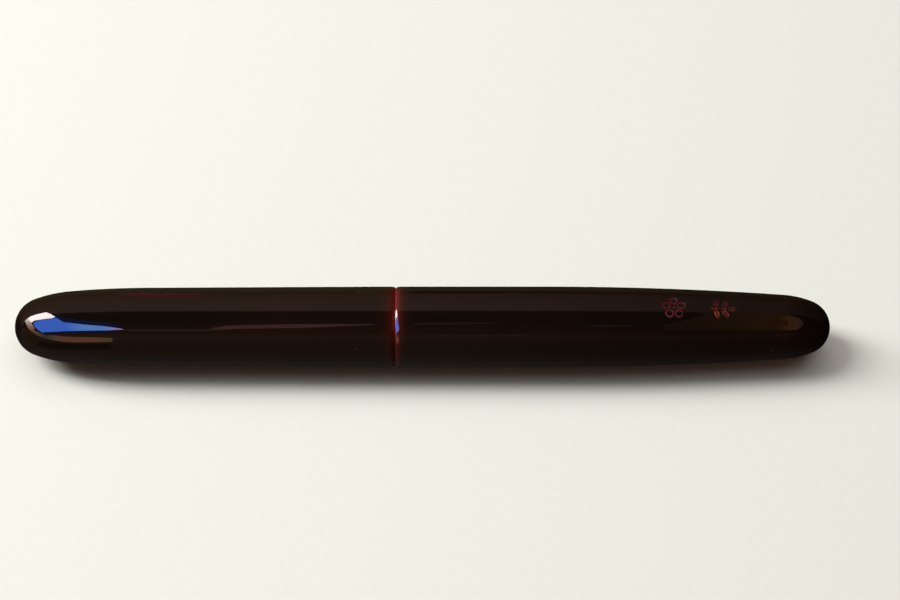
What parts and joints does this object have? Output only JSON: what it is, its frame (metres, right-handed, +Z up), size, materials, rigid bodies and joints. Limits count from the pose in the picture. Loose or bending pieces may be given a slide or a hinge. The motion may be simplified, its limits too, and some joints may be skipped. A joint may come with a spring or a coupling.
{
  "type": "brush pen",
  "caption": "Clipless cigar-shaped brush pen in dark lacquer: screw cap with sealing liner, barrel, grip, comb feed, hair tuft on a ferrule, and a twist-fill ink converter.",
  "frame": {"origin": "on the surface that the pen lies on, halfway along the pen and straight under its axis", "axes": "+X runs along the pen from the tip of the cap to the tail of the barrel, +Z is up, and +Y completes the right-handed frame"},
  "size_m": [0.15, 0.0148, 0.0149],
  "materials": {
    "dark_lacquer": "polished lacquer, nearly black, showing red where it is thin at the edges",
    "red_lacquer": "satin lacquer",
    "grip_lacquer": "polished",
    "liner_plastic": "moulded",
    "brass": "turned",
    "feed_plastic": "moulded",
    "wick_fibre": "bonded fibre",
    "pipe_plastic": "extruded",
    "ferrule_plastic": "moulded",
    "butt_resin": "cast",
    "binding_thread": "waxed thread",
    "hair": "fine hair drawn to a point",
    "plug_plastic": "moulded",
    "plated_metal": "polished",
    "clear_plastic": "clear",
    "knob_plastic": "moulded",
    "screw_plastic": "moulded",
    "seal_rubber": "moulded"
  },
  "bodies": {
    "section": {"grip_section": "grip_lacquer", "joint_ring": "brass", "feed_housing": "feed_plastic", "ink_comb": "feed_plastic", "ink_wick": "wick_fibre", "ink_pipe": "pipe_plastic", "brush_ferrule": "ferrule_plastic", "tuft_base": "butt_resin", "tuft_binding": "binding_thread", "brush_tuft": "hair"},
    "liner": {"inner_cap": "liner_plastic"},
    "cap": {"cap_shell": "dark_lacquer"},
    "bush": {"barrel_bush": "brass"},
    "barrel": {"barrel_shell": "dark_lacquer", "blossom_inlay": "red_lacquer", "sprig_inlay": "red_lacquer"},
    "converter": {"converter_mouth": "plug_plastic", "converter_sleeve": "plated_metal", "converter_tube": "clear_plastic", "guide_plate": "plug_plastic", "converter_collar": "plated_metal"},
    "knob": {"converter_knob": "knob_plastic", "drive_nut": "brass"},
    "piston": {"piston_screw": "screw_plastic", "piston_seal": "seal_rubber"}
  },
  "joints": [
    {"name": "cap_pull", "type": "slide", "parent": "section", "child": "liner", "axis": [-1, 0, 0], "range_m": [0, 0.065]},
    {"name": "cap_turn", "type": "hinge", "parent": "liner", "child": "cap", "pos_m": [-0.04, 0, 0.00745], "axis": [1, 0, 0], "range_deg": [0, 1260]},
    {"name": "barrel_pull", "type": "slide", "parent": "section", "child": "bush", "axis": [1, 0, 0], "range_m": [0, 0.068]},
    {"name": "barrel_turn", "type": "hinge", "parent": "bush", "child": "barrel", "pos_m": [0.02, 0, 0.00745], "axis": [1, 0, 0], "range_deg": [0, 1980]},
    {"name": "converter_pull", "type": "slide", "parent": "section", "child": "converter", "axis": [1, 0, 0], "range_m": [0, 0.012]},
    {"name": "knob_turn", "type": "hinge", "parent": "converter", "child": "knob", "pos_m": [0.04, 0, 0.00745], "axis": [1, 0, 0], "range_deg": [0, 2160]},
    {"name": "piston_travel", "type": "slide", "parent": "converter", "child": "piston", "axis": [-1, 0, 0], "range_m": [0, 0.018]}
  ],
  "couplings": [
    {"joint": "knob_turn", "follows": "piston_travel", "rad_per_m": 2094.4}
  ]
}
